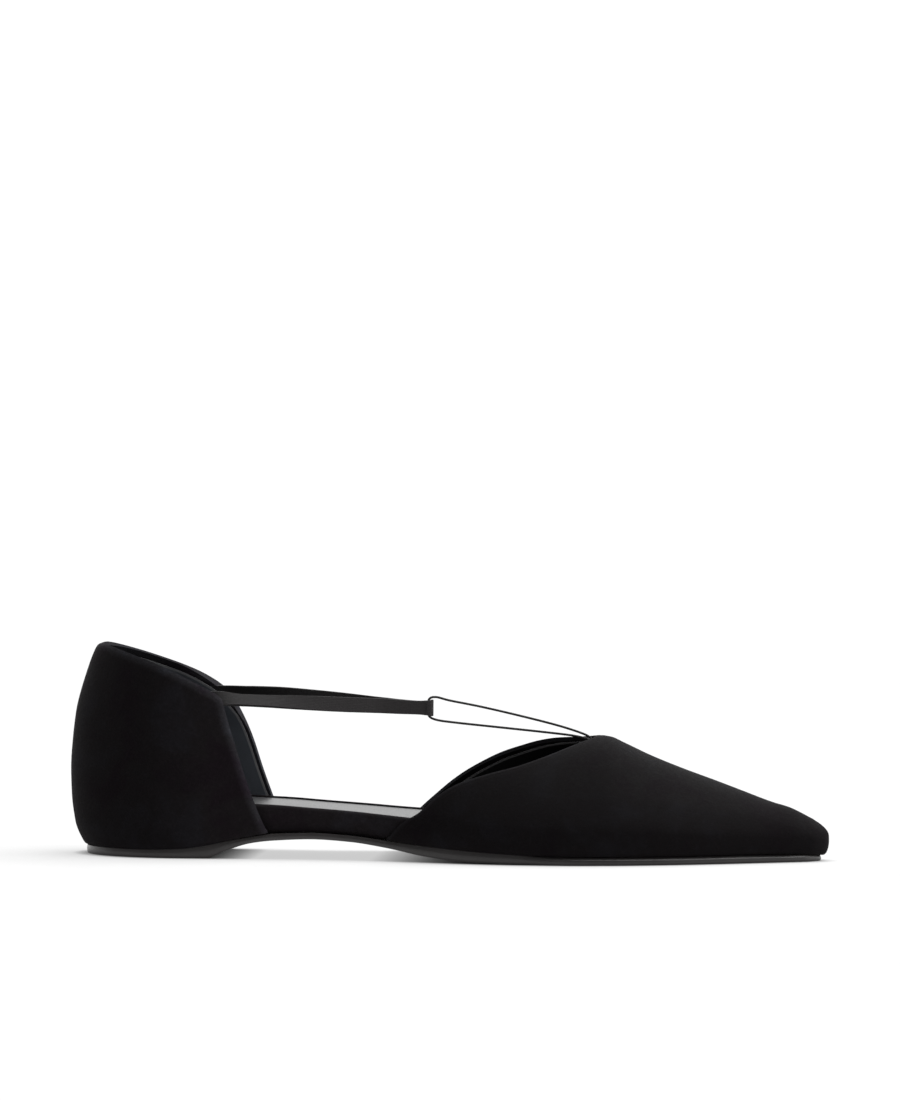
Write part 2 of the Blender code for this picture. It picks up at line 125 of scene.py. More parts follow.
def reader(rows, column):
    # Smooth curve through one column, with no overshoot between rows
    places = np.array([row[0] for row in rows], float)
    values = np.array([row[column] for row in rows], float)
    steps = np.diff(values) / np.diff(places)
    slopes = np.concatenate(([steps[0]], np.zeros(len(rows) - 2), [steps[-1]]))
    product = steps[:-1] * steps[1:]
    total = np.where(product > 0, steps[:-1] + steps[1:], 1.0)
    slopes[1:-1] = np.where(product > 0, 2 * product / total, 0.0)

    def read(place):
        place = np.clip(place, places[0], places[-1])
        index = np.clip(np.searchsorted(places, place) - 1, 0, len(places) - 2)
        step = places[index + 1] - places[index]
        t = (place - places[index]) / step
        rise = (2 * t ** 3 - 3 * t ** 2 + 1) * values[index] + (3 * t ** 2 - 2 * t ** 3) * values[index + 1]
        lean = (t ** 3 - 2 * t ** 2 + t) * slopes[index] + (t ** 3 - t ** 2) * slopes[index + 1]
        return rise + lean * step

    return read


def sideReader(rows, lateralColumn=1, medialColumn=2):
    readLateral = reader(rows, lateralColumn)
    readMedial = reader(rows, medialColumn)

    def read(place, side):
        return np.where(side < 0, readLateral(place), readMedial(place))

    return read


def ease(place, low, high):
    share = np.clip((place - low) / (high - low), 0.0, 1.0)
    return share * share * (3 - 2 * share)


def easeAlong(x, span):
    # The same between two shares of the shoe's length
    return ease(x, span[0] * last["length"], span[1] * last["length"])


def bisect(function, low, high):
    # Where the falling function passes zero
    for _ in range(40):
        middle = (low + high) / 2
        above = function(middle) > 0
        low = np.where(above, middle, low)
        high = np.where(above, high, middle)
    return (low + high) / 2


planWidth = sideReader(last["plan"])
planRidge = reader(last["plan"], 3)
sideBottom = reader(last["side"], 1)
sideTop = reader(last["side"], 2)
sideFootbed = reader(last["side"], 3)
heelBack = reader(last["heel"], 1)
heelFullness = reader(last["heel"], 2)


def ridgeLine(x):
    return last["ballWidth"] * planRidge(x / last["length"])


def halfWidth(x, side):
    share = planWidth(x / last["length"], side)
    return np.abs(side * share * last["ballWidth"] - ridgeLine(x))


def slant(x, side):
    slope = (halfWidth(x + 1, side) - halfWidth(x - 1, side)) / 2
    return np.sqrt(1 + slope * slope)


def soleBottom(x):
    return sideBottom(x / last["length"])


def soleTop(x):
    return sideTop(x / last["length"])


def footbedTop(x):
    return sideFootbed(x / last["length"])


def featherHeight(x):
    fall = last["featherHeightToe"] - last["featherHeightBall"]
    return last["featherHeightBall"] + fall * easeAlong(x, last["featherFall"])


def outlinePoint(step, side, inset, z, tipInset):
    # step 0 to 1 goes round the heel, 1 to 2 along the side, 2 to 3 round the toe
    back = heelBack(z) + inset
    heel = last["heelRound"] - inset
    tip = last["length"] - tipInset
    heelTurn = np.clip(step, 0, 1) * math.pi / 2
    toeTurn = (3 - np.clip(step, 2, 3)) * math.pi / 2
    straight = back + heel + (tip - last["toeRound"] - back - heel) * (step - 1)
    x = np.where(step <= 2, straight, tip - last["toeRound"] * (1 - np.cos(toeTurn)))
    x = np.where(step <= 1, back + heel * (1 - np.cos(heelTurn)), x)
    width = (halfWidth(x, side) - inset * slant(x, side)) * np.sin(heelTurn) * np.sin(toeTurn)
    return x, ridgeLine(x) + side * width


# Making meshes

# The frame's middle lies halfway between the widest places of the two sides
shiftAcross = planWidth(last["widest"]["medial"], medial) - planWidth(last["widest"]["lateral"], lateral)
shiftAcross = float(last["ballWidth"] * shiftAcross / 2)


def toWorld(points):
    shifted = np.asarray(points, float) - np.array([last["length"] / 2, shiftAcross, 0.0])
    return shifted * 0.001


def normalsOf(points):
    turned = np.cross(np.gradient(points, axis=1), np.gradient(points, axis=0))
    return turned / np.maximum(np.linalg.norm(turned, axis=2, keepdims=True), 1e-9)


def toMesh(name, shape, material):
    mesh = bpy.data.meshes.new(name)
    shape.to_mesh(mesh)
    shape.free()
    mesh.materials.append(material)
    return mesh


def toObject(name, data):
    item = bpy.data.objects.new(name, data)
    bpy.context.scene.collection.objects.link(item)
    return item


def gridPiece(name, points, material, uvs=None, weights=None, closed=False, sharp=40):
    # A grid whose vertices move to points[row][column]
    rows = points.shape[0] - 1
    columns = points.shape[1] - 1
    shape = bmesh.new()
    uvLayer = shape.loops.layers.uv.new("cloth")
    bmesh.ops.create_grid(shape, x_segments=columns, y_segments=rows, size=0.5)
    flat = np.array([vertex.co for vertex in shape.verts])
    across = np.rint((flat[:, 0] + 0.5) * columns).astype(int)
    up = np.rint((flat[:, 1] + 0.5) * rows).astype(int)
    places = toWorld(points[up, across])
    for vertex, place in zip(shape.verts, places):
        vertex.co = place
    if uvs is not None:
        patches = uvs[up, across]
        for face in shape.faces:
            for loop in face.loops:
                loop[uvLayer].uv = patches[loop.vert.index]
    if closed:
        bmesh.ops.remove_doubles(shape, verts=shape.verts, dist=0.000001)
        bmesh.ops.dissolve_degenerate(shape, edges=shape.edges, dist=0.0000005)
        bmesh.ops.recalc_face_normals(shape, faces=shape.faces)
    mesh = toMesh(name, shape, material)
    mesh.shade_smooth()
    mesh.set_sharp_from_angle(angle=math.radians(sharp))
    item = toObject(name, mesh)
    if weights is not None:
        group = item.vertex_groups.new(name="wall")
        for index, weight in enumerate(weights[up, across]):
            group.add([index], float(weight), "REPLACE")
    return item


def addWall(item, thickness, thinShare=None):
    # Wall on the inner side, thinShare of the thickness where the vertex group is 0
    wall = item.modifiers.new("wall", "SOLIDIFY")
    wall.thickness = thickness * 0.001
    wall.offset = -1.0
    if thinShare is not None:
        wall.vertex_group = "wall"
        wall.thickness_vertex_group = thinShare


def roundEdges(item, width, segments):
    bevel = item.modifiers.new("round", "BEVEL")
    bevel.width = width * 0.001
    bevel.segments = segments
    bevel.profile = 0.5
    bevel.limit_method = "ANGLE"
    bevel.angle_limit = math.radians(60)
    bevel.harden_normals = True


def joinPieces(name, items):
    # One piece from several, with the first one's material
    shape = bmesh.new()
    material = items[0].data.materials[0]
    for item in items:
        shape.from_mesh(item.data)
        bpy.data.objects.remove(item)
    mesh = toMesh(name, shape, material)
    mesh.shade_smooth()
    return toObject(name, mesh)


def place(item, slot, *nodes):
    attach(item, "root")
    if nodes:
        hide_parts(*nodes)


# Materials

def newMaterial(name):
    material = bpy.data.materials.new(name)
    material.use_nodes = True
    nodes = material.node_tree.nodes
    links = material.node_tree.links
    shader = nodes["Principled BSDF"]
    coords = nodes.new("ShaderNodeTexCoord")
    return material, nodes, links, shader, coords


def setInputs(node, values):
    for socket, value in values.items():
        node.inputs[socket].default_value = value


def addNoise(nodes, links, source, scale, detail=3.0, roughness=0.5, distortion=0.0):
    noise = nodes.new("ShaderNodeTexNoise")
    setInputs(noise, {"Scale": scale, "Detail": detail, "Roughness": roughness, "Distortion": distortion})
    links.new(source, noise.inputs["Vector"])
    return noise.outputs["Fac"]


def addRamp(nodes, links, source, stops):
    ramp = nodes.new("ShaderNodeValToRGB")
    ramp.color_ramp.interpolation = "EASE"
    while len(ramp.color_ramp.elements) < len(stops):
        ramp.color_ramp.elements.new(0.5)
    for element, (position, colour) in zip(ramp.color_ramp.elements, stops):
        element.position = position
        element.color = (*colour, 1.0)
    links.new(source, ramp.inputs["Fac"])
    return ramp.outputs["Color"]


def addRange(nodes, links, source, low, high, start=0.3, end=0.7):
    reach = nodes.new("ShaderNodeMapRange")
    setInputs(reach, {"From Min": start, "From Max": end, "To Min": low, "To Max": high})
    links.new(source, reach.inputs["Value"])
    return reach.outputs["Result"]


def addBump(nodes, links, height, strength, distance, below=None):
    bump = nodes.new("ShaderNodeBump")
    setInputs(bump, {"Strength": strength, "Distance": distance})
    links.new(height, bump.inputs["Height"])
    if below is not None:
        links.new(below, bump.inputs["Normal"])
    return bump.outputs["Normal"]


def multiplyColours(nodes, links, first, second, factor):
    mix = nodes.new("ShaderNodeMix")
    mix.data_type = "RGBA"
    mix.blend_type = "MULTIPLY"
    mix.inputs["Factor"].default_value = factor
    links.new(first, mix.inputs[6])
    links.new(second, mix.inputs[7])
    return mix.outputs[2]


def fadeAlong(nodes, links, coords, colourOut, fade):
    # Scales a colour along an axis. fade: axis, start and end in metres, tone at the start and at the end
    if fade is None:
        return colourOut
    axis, start, end, first, second = fade
    split = nodes.new("ShaderNodeSeparateXYZ")
    links.new(coords.outputs["Object"], split.inputs["Vector"])
    tint = nodes.new("ShaderNodeVectorMath")
    tint.operation = "SCALE"
    links.new(colourOut, tint.inputs[0])
    links.new(addRange(nodes, links, split.outputs[axis], first, second, start, end), tint.inputs["Scale"])
    return tint.outputs["Vector"]


def shades(colour, dark, light):
    return [tuple(channel * factor for channel in colour) for factor in (dark, 1.0, light)]


suedeLook = {
    "colour": (0.0042, 0.0035, 0.0039),
    # reach in millimetres and tone of the painted highlight along the folded edges
    "highlightReach": 3.4,
    "highlightTone": (3.0, 3.45, 3.5),
    "patches": 48.0,
    "nap": 700.0,
    "fibres": 3600.0,
    "sheen": 0.025,
}


def makeSuede(name, tone, edged, fade=None):
    # Where edged, the UV's second value is the distance in millimetres from the folded edge,
    # which is painted paler there: a painted highlight of the rolled edge catching the light
    material, nodes, links, shader, coords = newMaterial(name)
    source = coords.outputs["Object"]
    patches = addNoise(nodes, links, source, suedeLook["patches"], 4.0, 0.6, 0.4)
    nap = addNoise(nodes, links, source, suedeLook["nap"], 4.0, 0.7)
    fibres = addNoise(nodes, links, source, suedeLook["fibres"], 2.0, 0.6)
    colour = tuple(channel * tone for channel in suedeLook["colour"])
    dark, middle, light = shades(colour, 0.72, 1.35)
    warm = tuple(channel * factor for channel, factor in zip(dark, (1.18, 0.97, 1.16)))
    cool = tuple(channel * factor for channel, factor in zip(light, (0.92, 1.0, 1.08)))
    base = addRamp(nodes, links, patches, [(0.34, warm), (0.5, middle), (0.66, cool)])
    greys = [(0.32, (0.75, 0.75, 0.75)), (0.5, (1, 1, 1)), (0.70, (1.4, 1.4, 1.4))]
    speckle = addRamp(nodes, links, nap, greys)
    colourOut = multiplyColours(nodes, links, base, speckle, 0.8)
    if edged:
        split = nodes.new("ShaderNodeSeparateXYZ")
        links.new(coords.outputs["UV"], split.inputs["Vector"])
        share = nodes.new("ShaderNodeMath")
        share.operation = "MULTIPLY"
        share.inputs[1].default_value = 1 / suedeLook["highlightReach"]
        links.new(split.outputs["Y"], share.inputs[0])
        # painted highlight: paler near the folded edge, where the rolled edge catches the light
        paler = addRamp(nodes, links, share.outputs[0], [(0.0, suedeLook["highlightTone"]), (1.0, (1, 1, 1))])
        colourOut = multiplyColours(nodes, links, colourOut, paler, 1.0)
    links.new(fadeAlong(nodes, links, coords, colourOut, fade), shader.inputs["Base Color"])
    links.new(addRange(nodes, links, nap, 0.82, 1.0), shader.inputs["Roughness"])
    coarse = addBump(nodes, links, nap, 0.5, 0.00025)
    fine = addBump(nodes, links, fibres, 0.45, 0.00012, coarse)
    links.new(fine, shader.inputs["Normal"])
    setInputs(shader, {"Specular IOR Level": 0.06, "Sheen Weight": suedeLook["sheen"],
                       "Sheen Roughness": 0.45, "Sheen Tint": (0.55, 0.53, 0.56, 1.0)})
    return material


def makeLeather(name, colour, roughness, grain):
    material, nodes, links, shader, coords = newMaterial(name)
    source = coords.outputs["Object"]
    broad = addNoise(nodes, links, source, 70.0, 3.0)
    fine = addNoise(nodes, links, source, grain * 2.2, 3.0, 0.6)
    cells = nodes.new("ShaderNodeTexVoronoi")
    cells.feature = "DISTANCE_TO_EDGE"
    cells.inputs["Scale"].default_value = grain
    links.new(source, cells.inputs["Vector"])
    dark, middle, light = shades(colour, 0.8, 1.25)
    colourOut = addRamp(nodes, links, broad, [(0.3, dark), (0.5, middle), (0.7, light)])
    links.new(colourOut, shader.inputs["Base Color"])
    links.new(addRange(nodes, links, fine, roughness - 0.06, roughness + 0.08), shader.inputs["Roughness"])
    pores = addBump(nodes, links, cells.outputs["Distance"], 0.25, 0.00008)
    links.new(addBump(nodes, links, fine, 0.2, 0.00006, pores), shader.inputs["Normal"])
    shader.inputs["Specular IOR Level"].default_value = 0.3
    return material


def makeLining(name, colour, edgeHighlightColour, fade=None):
    # The UV's second value is the distance in millimetres from the lining's cut edge, which is painted
    # paler as a painted highlight
    material, nodes, links, shader, coords = newMaterial(name)
    split = nodes.new("ShaderNodeSeparateXYZ")
    links.new(coords.outputs["UV"], split.inputs["Vector"])
    fine = addNoise(nodes, links, coords.outputs["Object"], 2400.0, 3.0, 0.6)
    stops = [(0.0, edgeHighlightColour), (0.55, edgeHighlightColour), (0.85, colour)]
    colourOut = addRamp(nodes, links, split.outputs["Y"], stops)
    links.new(fadeAlong(nodes, links, coords, colourOut, fade), shader.inputs["Base Color"])
    links.new(addRange(nodes, links, fine, 0.42, 0.56), shader.inputs["Roughness"])
    links.new(addBump(nodes, links, fine, 0.25, 0.00006), shader.inputs["Normal"])
    shader.inputs["Specular IOR Level"].default_value = 0.35
    return material


def makeRubber(name, colour, fade):
    material, nodes, links, shader, coords = newMaterial(name)
    source = coords.outputs["Object"]
    broad = addNoise(nodes, links, source, 90.0, 4.0)
    fine = addNoise(nodes, links, source, 2600.0, 3.0, 0.6)
    dark, middle, light = shades(colour, 0.82, 1.2)
    colourOut = addRamp(nodes, links, broad, [(0.3, dark), (0.5, middle), (0.7, light)])
    links.new(fadeAlong(nodes, links, coords, colourOut, fade), shader.inputs["Base Color"])
    links.new(addRange(nodes, links, fine, 0.28, 0.38), shader.inputs["Roughness"])
    links.new(addBump(nodes, links, fine, 0.25, 0.00006), shader.inputs["Normal"])
    shader.inputs["Specular IOR Level"].default_value = 0.5
    return material


def addWave(nodes, links, source, scale, direction, distortion=0.0):
    wave = nodes.new("ShaderNodeTexWave")
    wave.wave_type = "BANDS"
    wave.bands_direction = direction
    setInputs(wave, {"Scale": scale, "Distortion": distortion, "Detail": 2.0, "Detail Scale": 3.0})
    links.new(source, wave.inputs["Vector"])
    return wave.outputs["Fac"]


def makeWoven(name, colour, ribs, picks, roughness, fade=None):
    # UVs are millimetres along and across; ribs run along, picks across
    material, nodes, links, shader, coords = newMaterial(name)
    source = coords.outputs["UV"]
    ribWave = addWave(nodes, links, source, ribs, "Y", 0.3)
    pickWave = addWave(nodes, links, source, picks, "X", 0.6)
    both = nodes.new("ShaderNodeMath")
    both.operation = "MULTIPLY_ADD"
    both.inputs[1].default_value = 0.45
    links.new(pickWave, both.inputs[0])
    links.new(ribWave, both.inputs[2])
    fuzz = addNoise(nodes, links, coords.outputs["Object"], 3000.0, 2.0)
    dark, middle, light = shades(colour, 0.90, 1.06)
    colourOut = addRamp(nodes, links, both.outputs[0], [(0.1, dark), (0.6, middle), (1.0, light)])
    links.new(fadeAlong(nodes, links, coords, colourOut, fade), shader.inputs["Base Color"])
    links.new(addRange(nodes, links, fuzz, roughness - 0.08, roughness + 0.08), shader.inputs["Roughness"])
    threads = addBump(nodes, links, both.outputs[0], 0.35, 0.00008)
    links.new(addBump(nodes, links, fuzz, 0.3, 0.00006, threads), shader.inputs["Normal"])
    setInputs(shader, {"Specular IOR Level": 0.3, "Sheen Weight": 0.12, "Sheen Roughness": 0.4})
    return material


# The counter and its lining are paler towards their front edges, as painted light from the toe side;
# the vamp is paler towards the sole and darker at the top, as painted light and shade; the band is
# darker at its back, where it leans up, and paler towards its front end, as painted shade and light;
# the sole is paler towards the heel
# counter, vamp and footbed are one suede in three tones; the differences between them are painted light and
# shade
counterSuede = makeSuede("counter suede", 1.28, True, ("X", -0.100, -0.078, 1.0, 1.7))
vampSuede = makeSuede("vamp suede", 0.95, True, ("Z", 0.004, 0.034, 1.35, 0.80))
footbedSuede = makeSuede("footbed suede", 2.5, False)
sockLeather = makeLeather("sock leather", (0.018, 0.018, 0.019), 0.36, 900.0)
counterLeather = makeLining("counter lining leather", (0.036, 0.040, 0.047), (0.100, 0.100, 0.104),
                            ("X", -0.096, -0.070, 1.0, 2.1))
# the vamp lining's near-black colour is painted shade of the shoe's deep inside; the counter's lining is
# far paler
vampShadedLining = makeLining("vamp lining leather", (0.0030, 0.0030, 0.0033), (0.15, 0.147, 0.15))
soleRubber = makeRubber("sole", (0.023, 0.0205, 0.0205), ("X", -0.110, -0.050, 1.3, 1.0))
elasticCloth = makeWoven("elastic", (0.0165, 0.0150, 0.0155), 0.55, 0.42, 0.85,
                         ("X", -0.070, -0.020, 0.64, 1.85))
cordCloth = makeWoven("cord cover", (0.020, 0.019, 0.019), 0.8, 0.9, 0.75)
threadBlack = makeWoven("thread", (0.014, 0.013, 0.014), 1.2, 1.2, 0.7)
print("materials made")


# Sole, footbed and sock are plates between the heel and the toe

def stations(heel, middle, toe):
    return np.concatenate((np.linspace(0, 1, heel + 1)[:-1],
                           np.linspace(1, 2, middle + 1)[:-1],
                           np.linspace(2, 3, toe + 1)))


def plateGrid(steps, levels, tipShare=1.7):
    # levels(x) lists inset, height and share of the way to the middle, from the underside round to the top
    count = len(levels(np.array([last["length"] / 2])))
    rows = []
    for ring in range(2 * count + 1):
        index = ring % (2 * count)
        side = lateral if index < count else medial
        level = index if index < count else 2 * count - 1 - index
        x, y = outlinePoint(steps, side, 0.0, 0.0, 0.0)
        for _ in range(3):
            inset, z, centre = levels(x)[level]
            x, y = outlinePoint(steps, side, inset, z, inset * tipShare)
        y = y + (ridgeLine(x) - y) * centre
        y[0] = ridgeLine(x[0])
        y[-1] = ridgeLine(x[-1])
        rows.append(np.stack((x, y, z + 0 * x), axis=1))
    return np.array(rows)


outsole = {
    "inset": 2.2,
    "insetTip": 1.6,
    "insetFall": (0.92, 0.98),
    "bevelRest": 0.2,
    "ledge": 0.6,
    "forefootStart": (0.60, 0.66),
    "forefootEnd": (0.94, 0.985),
    "underside": 1.6,
    "upperside": 2.2,
    # inset from the sole's outline and share of the sole's height
    "edge": (
        (0.90, 0.00),
        (0.55, 0.02),
        (0.25, 0.07),
        (0.05, 0.15),
        (0.00, 0.24),
        (0.00, 0.56),
        (0.12, 0.64),
        (0.95, 0.92),
        (1.50, 1.00),
    ),
}


def outsoleLevels(x):
    bottom = soleBottom(x)
    height = soleTop(x) - bottom
    top = bottom + height
    edge = outsole["inset"] + (outsole["insetTip"] - outsole["inset"]) * easeAlong(x, outsole["insetFall"])
    forefoot = easeAlong(x, outsole["forefootStart"]) - easeAlong(x, outsole["forefootEnd"])
    edge = edge - outsole["ledge"] * forefoot
    under = edge + outsole["underside"]
    over = edge + outsole["upperside"]
    bevel = outsole["bevelRest"] + (1 - outsole["bevelRest"]) * forefoot
    levels = [(under, bottom, 0.5), (under, bottom, 0.0)]
    for inset, share in outsole["edge"]:
        levels.append((edge + (inset * bevel if share > 0.5 else inset), bottom + height * share, 0.0))
    return levels + [(over, top, 0.0), (over, top, 0.5)]


outsoleGrid = plateGrid(stations(28, 170, 18), outsoleLevels)
outsolePiece = gridPiece("outsole_fine", outsoleGrid, soleRubber, closed=True)
place(outsolePiece, "outsole", "outsole")
print("outsole made")

footbed = {
    "wall": 1.8,
    "gap": 0.6,
    "tuck": 2.2,
    "round": 1.2,
    "rim": 2.2,
    "recess": 1.6,
    "rimRound": 0.35,
}


def roundTop(edge, top, radius, turns):
    # Levels round a plate's upper edge, at these turns in degrees
    levels = []
    for turn in turns:
        angle = math.radians(turn)
        levels.append((edge + radius * (1 - math.cos(angle)), top - radius * (1 - math.sin(angle)), 0.0))
    return levels


def footbedInset(rise, height):
    share = 1 - np.minimum(1.0, rise / height)
    return footbed["wall"] + footbed["gap"] + footbed["tuck"] * share * share


def recessInset(x):
    wall = footbedTop(x) - soleTop(x) - last["gap"] - footbed["round"]
    return footbedInset(wall, featherHeight(x)) + footbed["rim"]


def footbedLevels(x):
    base = soleTop(x) + last["gap"]
    top = footbedTop(x)
    wall = top - base - footbed["round"]
    levels = [(footbedInset(0.0, featherHeight(x)) + 0.6, base, 0.3)]
    for share in (0.0, 0.08, 0.2, 0.35, 0.5, 0.65, 0.82, 1.0):
        levels.append((footbedInset(wall * share, featherHeight(x)), base + wall * share, 0.0))
    levels += roundTop(levels[-1][0], top, footbed["round"], (20, 40, 60, 78, 90))
    inner = recessInset(x)
    soft = footbed["rimRound"]
    for turn in (0, 30, 60, 90):
        angle = math.radians(turn)
        levels.append((inner - soft * (1 - math.sin(angle)), top - soft * (1 - math.cos(angle)), 0.0))
    levels.append((inner, top - footbed["recess"], 0.0))
    levels.append((inner + 0.5, top - footbed["recess"], 0.5))
    return levels


footbedGrid = plateGrid(stations(30, 150, 16), footbedLevels)
footbedPiece = gridPiece("footbed_fine", footbedGrid, footbedSuede, closed=True)
place(footbedPiece, "footbed_suede", "footbed")
print("footbed made")

sock = {
    "thickness": 0.7,
    "round": 0.25,
    "crown": 0.12,
    "crownStart": (8.0, 40.0),
    "crownEnd": (215.0, 250.0),
}


def sockLevels(x):
    base = footbedTop(x) - footbed["recess"] + last["gap"]
    inset = recessInset(x) + last["gap"]
    top = base + sock["thickness"]
    soft = sock["round"]
    levels = [(inset + 0.5, base, 0.5), (inset + 0.1, base, 0.0), (inset, base + 0.2, 0.0)]
    levels += roundTop(inset, top, soft, (0, 25, 50, 75, 90))
    rise = sock["crown"] * ease(x, *sock["crownStart"]) * (1 - ease(x, *sock["crownEnd"]))
    for centre in (0.05, 0.15, 0.3, 0.5, 0.75):
        levels.append((inset + soft, top + rise * math.sin(centre * math.pi / 2), centre))
    return levels


sockPiece = gridPiece("sock_fine", plateGrid(stations(30, 150, 16), sockLevels), sockLeather, closed=True)
place(sockPiece, "sock_leather", "insole_sock")
print("sock made")


# Soft shapes of the upper's surface

def nearestOnPath(points, path):
    # Distance from each point to a dense path
    flat = points.reshape(-1, points.shape[-1])
    gaps = np.full(len(flat), 1e9)
    for start in range(0, len(flat), 4000):
        chunk = flat[start:start + 4000]
        gaps[start:start + 4000] = np.sqrt(((chunk[:, None, :] - path[None]) ** 2).sum(axis=2)).min(axis=1)
    return gaps.reshape(points.shape[:-1])


def dense(path, step=0.3):
    pieces = []
    for start, end in zip(path[:-1], path[1:]):
        count = max(1, int(np.ceil(np.linalg.norm(end - start) / step)))
        pieces.append(start + (end - start) * np.linspace(0, 1, count, endpoint=False)[:, None])
    return np.vstack(pieces + [path[-1:]])


def unevenness(points):
    # Slight soft waves of leather over the last
    x, y, z = points[..., 0], points[..., 1], points[..., 2]
    wave = np.sin(x / 4.3 + z / 6.1 + 0.7) * np.sin(z / 5.2 - y / 7.3 + 1.9)
    wave = wave + 0.8 * np.sin(x / 7.7 - z / 3.9 + y / 9.0 + 2.6)
    return wave


# The upper's layers and their folded edges, the same on counter and vamp
upper = {
    "suede": 1.35,
    "lining": 0.45,
    "apart": 0.03,
    "uneven": 0.05,
    "rollDepth": 0.4,
    "rollWidth": 2.0,
    "stitchLine": 1.7,
    "groove": 0.08,
    "grooveWidth": 0.45,
}


def edgeRoll(gap):
    # The folded edge bends inward and a line of stitches presses a groove beside it
    roll = upper["rollDepth"] * np.clip(1 - gap / upper["rollWidth"], 0, 1) ** 2
    return roll + upper["groove"] * np.exp(-((gap - upper["stitchLine"]) / upper["grooveWidth"]) ** 2)


def soften(points, creases):
    # How far the surface stands out from the smooth form, from the list of ridges and troughs
    lift = upper["uneven"] * unevenness(points)
    for crease in creases:
        path = dense(np.array(crease["path"], float))
        gaps = nearestOnPath(points[..., [0, 2]], path)
        onSide = np.where(points[..., 1] * crease["side"] > 0, 1.0, 0.0)
        lift = lift + crease["lift"] * np.exp(-(gaps / crease["width"]) ** 2) * onSide
    return lift[..., None]


# Counter

counter = {
    "heelShare": 0.66,
    # along, lateral height, medial height
    "rim": (
        (11.5, 73.8, 73.8),
        (15.0, 72.8, 72.4),
        (22.0, 70.6, 70.0),
        (30.0, 67.9, 67.2),
        (36.0, 65.4, 65.0),
        (41.7, 62.8, 62.6),
        (47.0, 60.2, 59.7),
        (49.6, 58.9, 57.9),
        (51.5, 57.9, 56.4),
        (53.3, 57.0, 54.3),
        (55.6, 55.2, 51.5),
        (60.0, 49.0, 46.2),
    ),
    # height, along on the lateral side, along on the medial side
    "edge": (
        (6.0, 73.4, 73.4),
        (15.7, 69.1, 69.1),
        (22.0, 66.6, 66.6),
        (29.5, 63.9, 63.9),
        (38.4, 61.0, 61.0),
        (44.8, 58.9, 58.4),
        (50.0, 57.3, 55.8),
        (53.6, 56.3, 53.7),
        (56.4, 55.4, 51.5),
        (62.0, 52.0, 46.0),
    ),
    "lapWall": 2.9,
    "foldRim": 2.6,
    "foldFront": 1.5,
    "softFrom": (4.0, 16.0),
    # where the strap's lap thickens the wall, and how far from there it thins out
    "lapPath": ((43.0, 56.0), (55.5, 54.6)),
    "lapReach": (2.8, 13.0),
    # end and steps of each span of the grid
    "around": ((0.66, 40), (0.93, 26), (0.975, 8), (1.0, 3)),
    "up": ((0.10, 12), (0.90, 56), (0.988, 20), (1.0, 1)),
    "liningUp": ((0.10, 8), (0.95, 44), (0.996, 6), (1.0, 1)),
    "creases": (
        {"side": lateral, "width": 2.0, "lift": 0.45, "path": ((48.0, 54.9), (55.5, 53.4))},
        {"side": medial, "width": 2.0, "lift": 0.35, "path": ((44.5, 56.2), (52.5, 54.6))},
    ),
}
rimHeight = sideReader(counter["rim"])
frontEdge = sideReader(counter["edge"])


def insetEdge(table, place, side, inset):
    # An edge from its table, moved back by inset at right angles to itself
    value = table(place, side)
    slope = (table(place + 0.5, side) - value) / 0.5
    return value - inset * np.sqrt(1 + slope * slope)


def counterPoint(side, around, z, inset):
    # around 0 is the middle of the back, 1 the front edge, inset from it
    share = counter["heelShare"]
    turn = np.minimum(1.0, around / share) * math.pi / 2
    x = heelBack(z) + last["heelRound"] * (1 - np.cos(turn))
    x = x + np.maximum(0.0, around - share) / (1 - share) * (insetEdge(frontEdge, z, side, inset) - x)
    left = 1 - np.clip((z - soleTop(x) - last["seam"]) / last["featherHeightBall"], 0, 1)
    tuck = last["featherTuck"] * (1 - np.sqrt(1 - left * left))
    width = halfWidth(x, side) * heelFullness(z) - tuck
    return x + tuck * np.cos(turn), ridgeLine(x) + side * width * np.sin(turn)


def counterGrid(arounds, ups, rimInset, inset):
    # arounds run from -1, the medial front edge, round the back to 1, the lateral front edge
    side = np.where(arounds > 0, lateral, medial)
    around = np.abs(arounds)
    z = np.full(len(arounds), 70.0)
    for _ in range(60):
        rim = insetEdge(rimHeight, counterPoint(side, around, z, inset)[0], side, rimInset)
        z = 0.5 * z + 0.5 * rim
    base = soleTop(counterPoint(side, around, 6.0 + 0 * around, inset)[0]) + last["seam"]
    height = base[None] + (z - base)[None] * ups[:, None]
    x, y = counterPoint(side[None], around[None], height, inset)
    return np.stack((x, y, height), axis=2)


def openEdge(grid):
    # The counter's open edge: up one front, round the rim, down the other
    return np.vstack((grid[:, 0], grid[-1, 1:-1], grid[::-1, -1]))


def shares(spans):
    values = [0.0]
    for end, steps in spans:
        values += list(np.linspace(values[-1], end, steps + 1)[1:])
    return np.array(values)


aroundHalf = shares(counter["around"])
arounds = np.concatenate((-aroundHalf[::-1], aroundHalf[1:]))
counterSmooth = counterGrid(arounds, shares(counter["up"]), 0.0, 0.0)
counterRimPath = dense(openEdge(counterSmooth))
edgeGap = nearestOnPath(counterSmooth, counterRimPath)
counterLift = soften(counterSmooth, counter["creases"])
counterLift = counterLift * ease(counterSmooth[..., 2:3], *counter["softFrom"])
counterLift[..., 0] -= edgeRoll(edgeGap)
counterOuter = counterSmooth + normalsOf(counterSmooth) * counterLift


def overLap(points):
    # 1 where the strap's lap lies inside the counter's wall
    gaps = nearestOnPath(points[..., [0, 2]], dense(np.array(counter["lapPath"])))
    return 1 - ease(gaps, *counter["lapReach"])


lapShare = overLap(counterSmooth)
